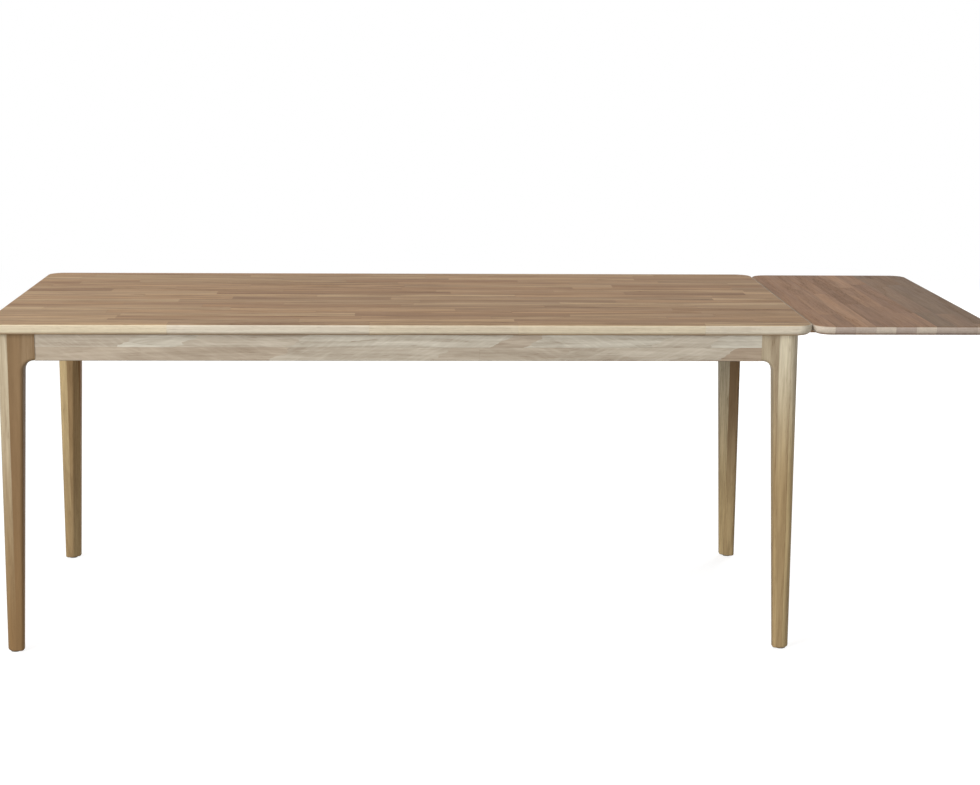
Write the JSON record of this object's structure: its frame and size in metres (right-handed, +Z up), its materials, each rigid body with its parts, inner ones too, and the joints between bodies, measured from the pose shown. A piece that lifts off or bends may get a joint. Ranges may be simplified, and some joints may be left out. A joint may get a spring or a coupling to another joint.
{
  "type": "draw leaf table",
  "caption": "Oak dining table on tapered legs with slim aprons; an end leaf rides on sliding bearers under the top and is held shut by swing hooks.",
  "frame": {"origin": "on the floor, under the middle of the table with its leaf on", "axes": "+X along the table towards the end leaf, +Y to the rear, +Z up"},
  "size_m": [2.201, 0.9, 0.74],
  "materials": {
    "top_wood": "oiled oak staves glued along the table",
    "leaf_wood": "oiled oak staves glued across the table",
    "leg_wood": "oiled oak, glued from upright bands",
    "apron_wood": "oiled oak with flame figure",
    "inner_wood": "plain planed hardwood",
    "dowel_wood": "turned beech",
    "steel": "zinc-plated steel",
    "glide_nylon": "matt moulded nylon"
  },
  "bodies": {
    "table": {"table_top": "top_wood", "leg_front_left": "leg_wood", "leg_front_right": "leg_wood", "leg_rear_left": "leg_wood", "leg_rear_right": "leg_wood", "apron_front": "apron_wood", "apron_rear": "apron_wood", "apron_left_end": "apron_wood", "apron_right_end": "apron_wood", "corner_block_front_left": "inner_wood", "corner_block_front_right": "inner_wood", "corner_block_rear_left": "inner_wood", "corner_block_rear_right": "inner_wood", "cross_rail_left": "inner_wood", "cross_rail_right": "inner_wood", "guide_front_outer": "inner_wood", "guide_front_inner": "inner_wood", "guide_rear_outer": "inner_wood", "guide_rear_inner": "inner_wood", "foot_glides": "glide_nylon", "glide_nails": "steel", "leg_bolts": "steel", "leg_bolt_washers": "steel", "leg_bolt_nuts": "steel", "top_clips": "steel", "top_clip_screws": "steel", "guide_screws": "steel", "catch_spacers": "steel", "catch_pivot_screws": "steel"},
    "leaf": {"leaf_panel": "leaf_wood", "bearer_front": "inner_wood", "bearer_rear": "inner_wood", "bearer_stop_pegs": "dowel_wood", "leaf_dowels": "dowel_wood", "bearer_screws": "steel", "keeper_pins": "steel"},
    "catch_front": {"catch_hook_front": "steel"},
    "catch_rear": {"catch_hook_rear": "steel"}
  },
  "joints": [
    {"name": "leaf_draw", "type": "slide", "parent": "table", "child": "leaf", "axis": [1, 0, 0], "range_m": [0, 0.3]},
    {"name": "catch_front_swing", "type": "hinge", "parent": "table", "child": "catch_front", "pos_m": [0.6832, -0.2802, 0.7102], "axis": [0, 0, -1], "range_deg": [0, 90]},
    {"name": "catch_rear_swing", "type": "hinge", "parent": "table", "child": "catch_rear", "pos_m": [0.6832, 0.2802, 0.7102], "axis": [0, 0, 1], "range_deg": [0, 90]}
  ]
}
